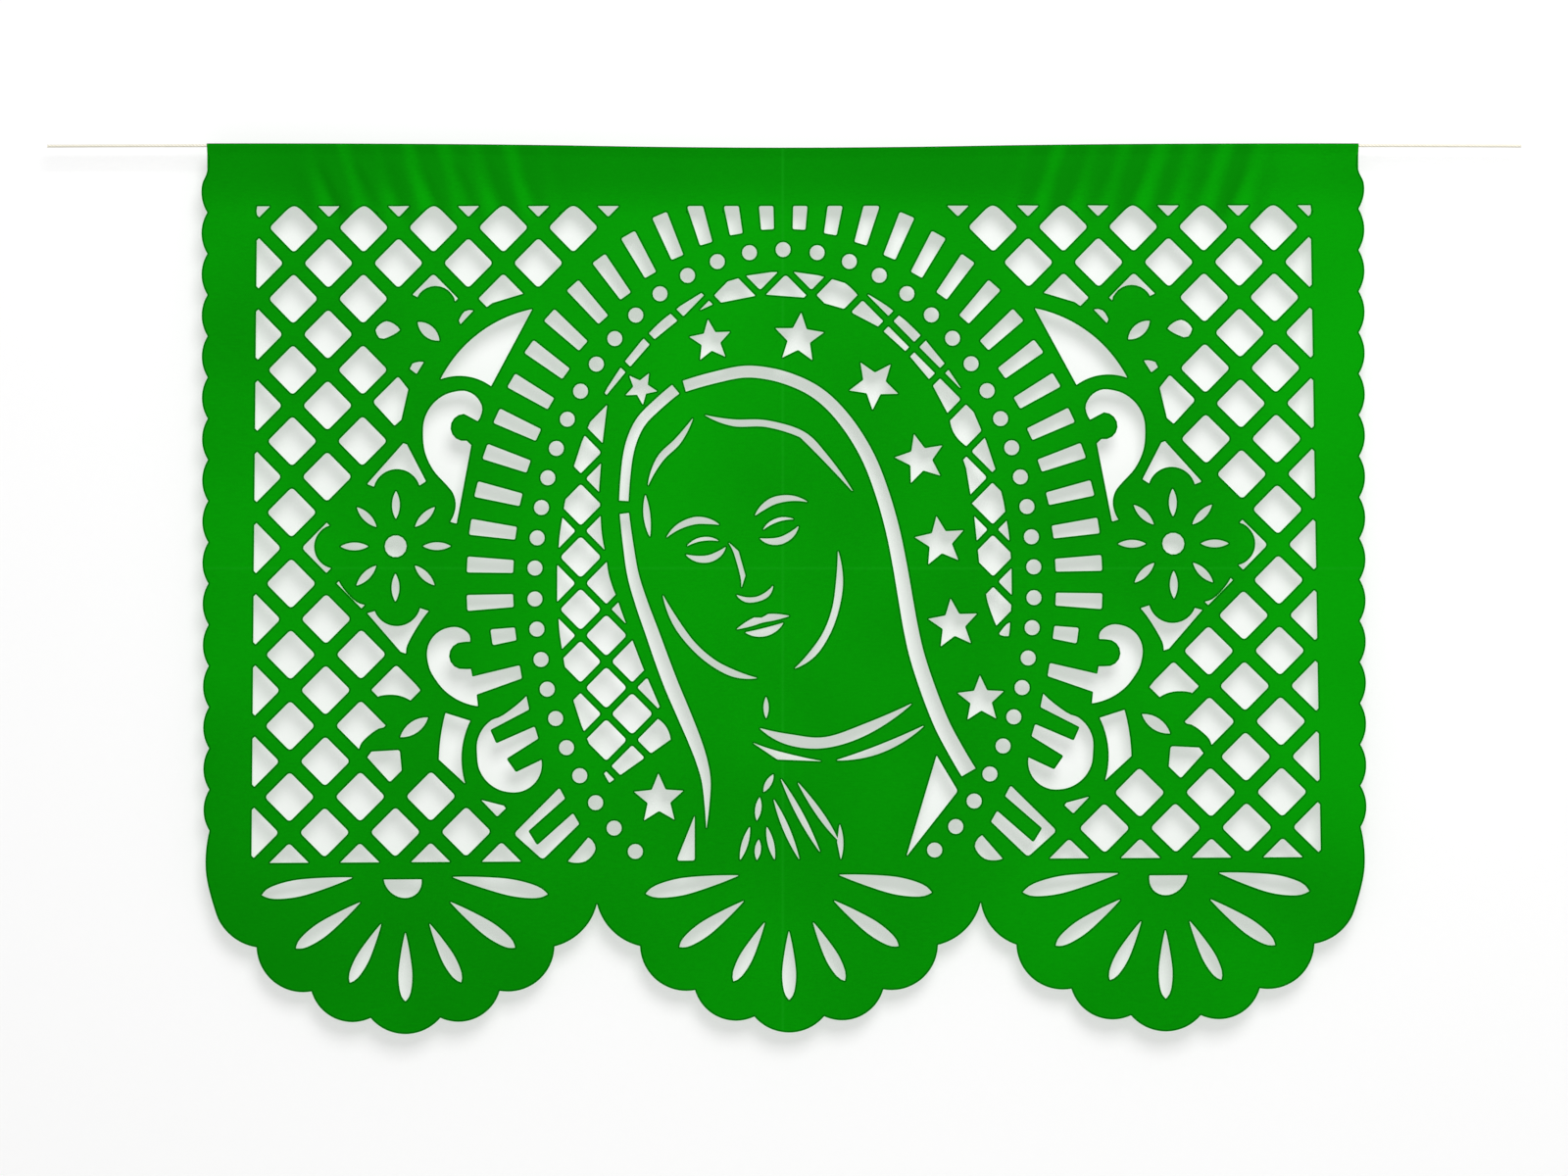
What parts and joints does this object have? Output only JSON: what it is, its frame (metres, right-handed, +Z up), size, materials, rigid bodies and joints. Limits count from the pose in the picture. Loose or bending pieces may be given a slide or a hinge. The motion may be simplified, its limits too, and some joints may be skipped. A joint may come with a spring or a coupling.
{
  "type": "papel picado sheet",
  "caption": "Sheet of green cut paper with scalloped edges, pierced with a lattice, flowers and a veiled figure in a halo, folded over a cord to hang as a banner.",
  "frame": {"origin": "on the cord's axis at the middle of the sheet's width", "axes": "+X to the right along the cord, the front of the sheet faces -Y, +Z up"},
  "size_m": [0.583, 0.0018, 0.3523],
  "materials": {
    "paper": "matte",
    "cord": "twisted thread"
  },
  "bodies": {
    "root": {"paper_sheet": "paper", "hanging_cord": "cord"}
  },
  "joints": []
}
